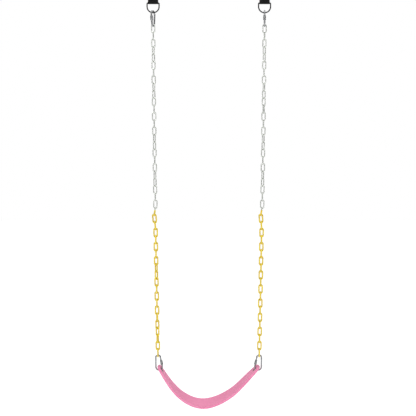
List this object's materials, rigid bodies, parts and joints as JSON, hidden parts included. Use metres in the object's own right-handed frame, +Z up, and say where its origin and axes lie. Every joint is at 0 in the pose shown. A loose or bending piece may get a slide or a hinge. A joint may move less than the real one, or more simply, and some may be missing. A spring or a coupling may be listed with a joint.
{
  "type": "belt swing seat",
  "caption": "Flexible belt swing seat hung on two partly plastic-coated chains, with locking carabiners and webbing hanging straps.",
  "frame": {"origin": "on the axis of the supporting beam, midway between the two strap eyes", "axes": "+X along the beam, towards the right-hand strap; -Y the front of the swing; +Z up"},
  "size_m": [0.604, 0.139, 2.1111],
  "materials": {
    "webbing": "black woven polyester webbing",
    "thread": "grey bonded sewing thread",
    "ring_steel": "bright zinc plated welded wire",
    "carabiner_steel": "bright zinc plated forged wire",
    "sleeve_steel": "fluted and plated",
    "chain_steel": "hot dip galvanised",
    "chain_coating": "soft glossy dip-moulded vinyl",
    "insert_steel": "zinc plated sheet",
    "eyelet_steel": "zinc plated",
    "belt": "satin moulded pink EVA with faint lengthwise streaks"
  },
  "bodies": {
    "straps": {"left_hanging_strap": "webbing", "left_strap_stitching": "thread", "right_hanging_strap": "webbing", "right_strap_stitching": "thread"},
    "d_rings": {"left_d_ring": "ring_steel", "right_d_ring": "ring_steel"},
    "upper_carabiners": {"left_upper_carabiner_frame": "carabiner_steel", "left_upper_carabiner_gate_pin": "carabiner_steel", "right_upper_carabiner_frame": "carabiner_steel", "right_upper_carabiner_gate_pin": "carabiner_steel"},
    "upper_steel_chains": {"left_upper_steel_chain": "chain_steel", "right_upper_steel_chain": "chain_steel"},
    "lower_steel_chains": {"left_lower_steel_chain": "chain_steel", "right_lower_steel_chain": "chain_steel"},
    "upper_coated_chains": {"left_upper_coated_chain_core": "chain_steel", "left_upper_chain_coating": "chain_coating", "right_upper_coated_chain_core": "chain_steel", "right_upper_chain_coating": "chain_coating"},
    "lower_coated_chains": {"left_lower_coated_chain_core": "chain_steel", "left_lower_chain_coating": "chain_coating", "right_lower_coated_chain_core": "chain_steel", "right_lower_chain_coating": "chain_coating"},
    "lower_carabiners": {"left_lower_carabiner_frame": "carabiner_steel", "left_lower_carabiner_gate_pin": "carabiner_steel", "right_lower_carabiner_frame": "carabiner_steel", "right_lower_carabiner_gate_pin": "carabiner_steel"},
    "seat": {"seat_belt": "belt", "left_end_insert": "insert_steel", "left_end_eyelet": "eyelet_steel", "right_end_insert": "insert_steel", "right_end_eyelet": "eyelet_steel"},
    "left_upper_gate": {"left_upper_carabiner_gate": "carabiner_steel", "left_upper_carabiner_gate_plunger": "carabiner_steel", "left_upper_carabiner_gate_spring": "carabiner_steel"},
    "left_upper_sleeve": {"left_upper_carabiner_locking_sleeve": "sleeve_steel"},
    "left_lower_gate": {"left_lower_carabiner_gate": "carabiner_steel", "left_lower_carabiner_gate_plunger": "carabiner_steel", "left_lower_carabiner_gate_spring": "carabiner_steel"},
    "left_lower_sleeve": {"left_lower_carabiner_locking_sleeve": "sleeve_steel"},
    "right_upper_gate": {"right_upper_carabiner_gate": "carabiner_steel", "right_upper_carabiner_gate_plunger": "carabiner_steel", "right_upper_carabiner_gate_spring": "carabiner_steel"},
    "right_upper_sleeve": {"right_upper_carabiner_locking_sleeve": "sleeve_steel"},
    "right_lower_gate": {"right_lower_carabiner_gate": "carabiner_steel", "right_lower_carabiner_gate_plunger": "carabiner_steel", "right_lower_carabiner_gate_spring": "carabiner_steel"},
    "right_lower_sleeve": {"right_lower_carabiner_locking_sleeve": "sleeve_steel"}
  },
  "joints": [
    {"name": "d_ring_swing", "type": "hinge", "parent": "straps", "child": "d_rings", "pos_m": [0, 0, -0.139], "axis": [1, 0, 0], "range_deg": [-60, 60]},
    {"name": "upper_carabiner_swing", "type": "hinge", "parent": "d_rings", "child": "upper_carabiners", "pos_m": [0, 0, -0.186], "axis": [1, 0, 0], "range_deg": [-45, 45]},
    {"name": "upper_steel_chain_swing", "type": "hinge", "parent": "upper_carabiners", "child": "upper_steel_chains", "pos_m": [0, 0, -0.24287], "axis": [1, 0, 0], "range_deg": [-20, 20]},
    {"name": "lower_steel_chain_swing", "type": "hinge", "parent": "upper_steel_chains", "child": "lower_steel_chains", "pos_m": [0, 0, -0.70886], "axis": [1, 0, 0], "range_deg": [-45, 45]},
    {"name": "upper_coated_chain_swing", "type": "hinge", "parent": "lower_steel_chains", "child": "upper_coated_chains", "pos_m": [0, 0, -1.1341], "axis": [1, 0, 0], "range_deg": [-45, 45]},
    {"name": "lower_coated_chain_swing", "type": "hinge", "parent": "upper_coated_chains", "child": "lower_coated_chains", "pos_m": [0, 0, -1.33981], "axis": [1, 0, 0], "range_deg": [-45, 45]},
    {"name": "lower_carabiner_swing", "type": "hinge", "parent": "lower_coated_chains", "child": "lower_carabiners", "pos_m": [0, 0, -1.84469], "axis": [1, 0, 0], "range_deg": [-45, 45]},
    {"name": "seat_tip", "type": "hinge", "parent": "lower_carabiners", "child": "seat", "pos_m": [0, 0, -1.91311], "axis": [1, 0, 0], "range_deg": [-15, 15]},
    {"name": "left_upper_gate_open", "type": "hinge", "parent": "upper_carabiners", "child": "left_upper_gate", "pos_m": [-0.27479, -0.01026, -0.23306], "axis": [-0.9063, 0.4226, 0], "range_deg": [0, 25], "stiffness_Nm_per_rad": 0.03, "springref_deg": -34.38},
    {"name": "left_upper_sleeve_lock", "type": "slide", "parent": "left_upper_gate", "child": "left_upper_sleeve", "axis": [0.064, 0.1372, -0.9885], "range_m": [-0.0055, 0]},
    {"name": "left_lower_gate_open", "type": "hinge", "parent": "lower_carabiners", "child": "left_lower_gate", "pos_m": [-0.23331, 0, -1.86108], "axis": [0, 1, 0], "range_deg": [0, 25], "stiffness_Nm_per_rad": 0.03, "springref_deg": -34.38},
    {"name": "left_lower_sleeve_lock", "type": "slide", "parent": "left_lower_gate", "child": "left_lower_sleeve", "axis": [-0.2195, 0, 0.9756], "range_m": [-0.0055, 0]},
    {"name": "right_upper_gate_open", "type": "hinge", "parent": "upper_carabiners", "child": "right_upper_gate", "pos_m": [0.26901, -0.01128, -0.23306], "axis": [-0.9962, 0.0872, 0], "range_deg": [0, 25], "stiffness_Nm_per_rad": 0.03, "springref_deg": -34.38},
    {"name": "right_upper_sleeve_lock", "type": "slide", "parent": "right_upper_gate", "child": "right_upper_sleeve", "axis": [0.0132, 0.1508, -0.9885], "range_m": [-0.0055, 0]},
    {"name": "right_lower_gate_open", "type": "hinge", "parent": "lower_carabiners", "child": "right_lower_gate", "pos_m": [0.23134, 0.00086, -1.86106], "axis": [-0.1016, -0.9945, 0.0246], "range_deg": [0, 25], "stiffness_Nm_per_rad": 0.03, "springref_deg": -34.38},
    {"name": "right_lower_sleeve_lock", "type": "slide", "parent": "right_lower_gate", "child": "right_lower_sleeve", "axis": [0.2196, 0.0017, 0.9756], "range_m": [-0.0055, 0]}
  ]
}
